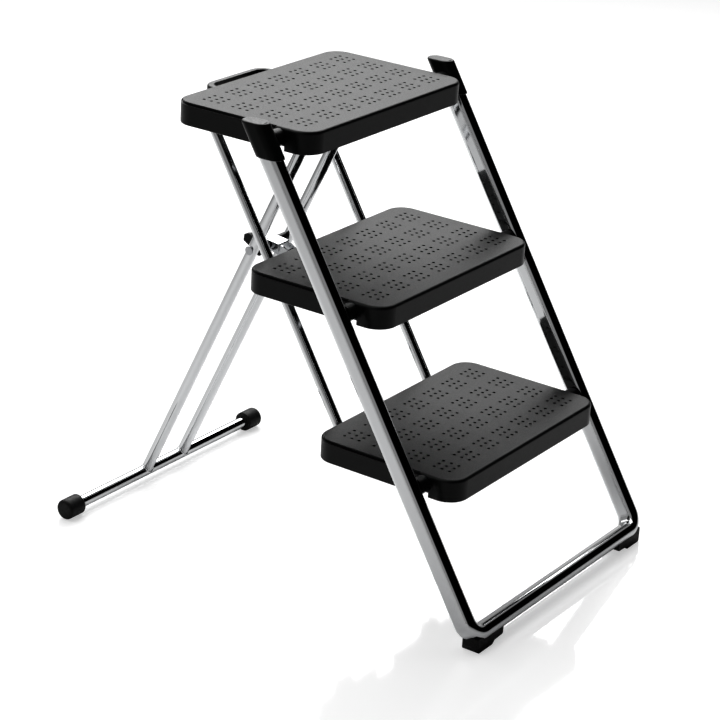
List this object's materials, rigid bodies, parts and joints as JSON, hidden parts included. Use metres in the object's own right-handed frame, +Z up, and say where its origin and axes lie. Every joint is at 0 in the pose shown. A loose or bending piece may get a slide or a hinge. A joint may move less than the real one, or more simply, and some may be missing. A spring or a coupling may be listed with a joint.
{
  "type": "folding step stool",
  "caption": "Folding step stool with perforated plastic treads on a chromed U frame, parallel link bars, a T-shaped rear leg with a latch stay and a carrying handle",
  "frame": {"origin": "on the floor, under the middle of the stool's bounding box", "axes": "+X to the stool's right-hand side seen from the user who climbs it, +Y from the user towards the rear leg, +Z up"},
  "size_m": [0.4436, 0.699, 0.6332],
  "materials": {
    "chrome_tube": "polished chrome plate on steel tube",
    "chrome_sheet": "chrome plate on pressed steel, slightly softer reflections",
    "zinc_steel": "zinc-plated steel",
    "tread_plastic": "black moulded plastic, fine matt grain on top, smoother skirt",
    "black_plastic": "black moulded plastic, satin",
    "black_rubber": "soft black rubber"
  },
  "bodies": {
    "frame": {"front_frame": "chrome_tube", "tread_axle_top": "zinc_steel", "tread_axle_middle": "zinc_steel", "tread_axle_bottom": "zinc_steel", "pivot_washers": "black_plastic", "rail_cap_left": "black_plastic", "rail_cap_right": "black_plastic", "foot_pad_left": "black_rubber", "foot_pad_right": "black_rubber"},
    "top_tread": {"tread_top": "tread_plastic", "link_pins_top": "zinc_steel", "leg_hinge_brackets": "zinc_steel", "leg_hinge_pins": "zinc_steel", "bracket_screws": "zinc_steel", "carry_handle": "black_plastic", "handle_screws": "zinc_steel"},
    "middle_tread": {"tread_middle": "tread_plastic", "link_pins_middle": "zinc_steel", "keeper_bracket": "zinc_steel", "keeper_pin": "zinc_steel", "keeper_screws": "zinc_steel"},
    "bottom_tread": {"tread_bottom": "tread_plastic", "link_pins_bottom": "zinc_steel"},
    "left_link": {"link_bar_left": "chrome_tube", "link_plugs_left": "black_plastic"},
    "right_link": {"link_bar_right": "chrome_tube", "link_plugs_right": "black_plastic"},
    "rear_leg": {"leg_tube_left": "chrome_tube", "leg_tube_right": "chrome_tube", "foot_bar": "chrome_tube", "bar_cap_left": "black_rubber", "bar_cap_right": "black_rubber", "leg_plugs": "black_plastic", "latch_axle": "zinc_steel", "latch_spacers": "black_plastic", "lever_spring": "zinc_steel"},
    "stay": {"latch_stay": "chrome_sheet", "latch_cover": "chrome_sheet"},
    "lever": {"release_lever": "black_plastic"}
  },
  "joints": [
    {"name": "fold", "type": "hinge", "parent": "frame", "child": "top_tread", "pos_m": [0, -0.00816, 0.60717], "axis": [1, 0, 0], "range_deg": [0, 57.8]},
    {"name": "middle_fold", "type": "hinge", "parent": "frame", "child": "middle_tread", "pos_m": [0, -0.12277, 0.40116], "axis": [1, 0, 0], "range_deg": [0, 57.81]},
    {"name": "bottom_fold", "type": "hinge", "parent": "frame", "child": "bottom_tread", "pos_m": [0, -0.23739, 0.19514], "axis": [1, 0, 0], "range_deg": [0, 57.81]},
    {"name": "left_link_fold", "type": "hinge", "parent": "top_tread", "child": "left_link", "pos_m": [0, 0.1579, 0.58576], "axis": [1, 0, 0], "range_deg": [-57.81, 0]},
    {"name": "right_link_fold", "type": "hinge", "parent": "top_tread", "child": "right_link", "pos_m": [0, 0.1579, 0.58576], "axis": [1, 0, 0], "range_deg": [-57.81, 0]},
    {"name": "leg_fold", "type": "hinge", "parent": "top_tread", "child": "rear_leg", "pos_m": [0, 0.04081, 0.58053], "axis": [1, 0, 0], "range_deg": [-113.83, 0]},
    {"name": "stay_fold", "type": "hinge", "parent": "rear_leg", "child": "stay", "pos_m": [0, 0.13771, 0.39407], "axis": [1, 0, 0], "range_deg": [0, 107.83]},
    {"name": "lever_press", "type": "hinge", "parent": "rear_leg", "child": "lever", "pos_m": [0, 0.13771, 0.39407], "axis": [1, 0, 0], "range_deg": [0, 15], "stiffness_Nm_per_rad": 0.05, "springref_deg": -8.59}
  ],
  "couplings": [
    {"joint": "middle_fold", "follows": "fold", "ratio": 1},
    {"joint": "bottom_fold", "follows": "fold", "ratio": 1},
    {"joint": "left_link_fold", "follows": "fold", "ratio": -1},
    {"joint": "right_link_fold", "follows": "fold", "ratio": -1},
    {"joint": "leg_fold", "follows": "fold", "ratio": -1.9692},
    {"joint": "stay_fold", "follows": "fold", "ratio": 1.8655}
  ]
}
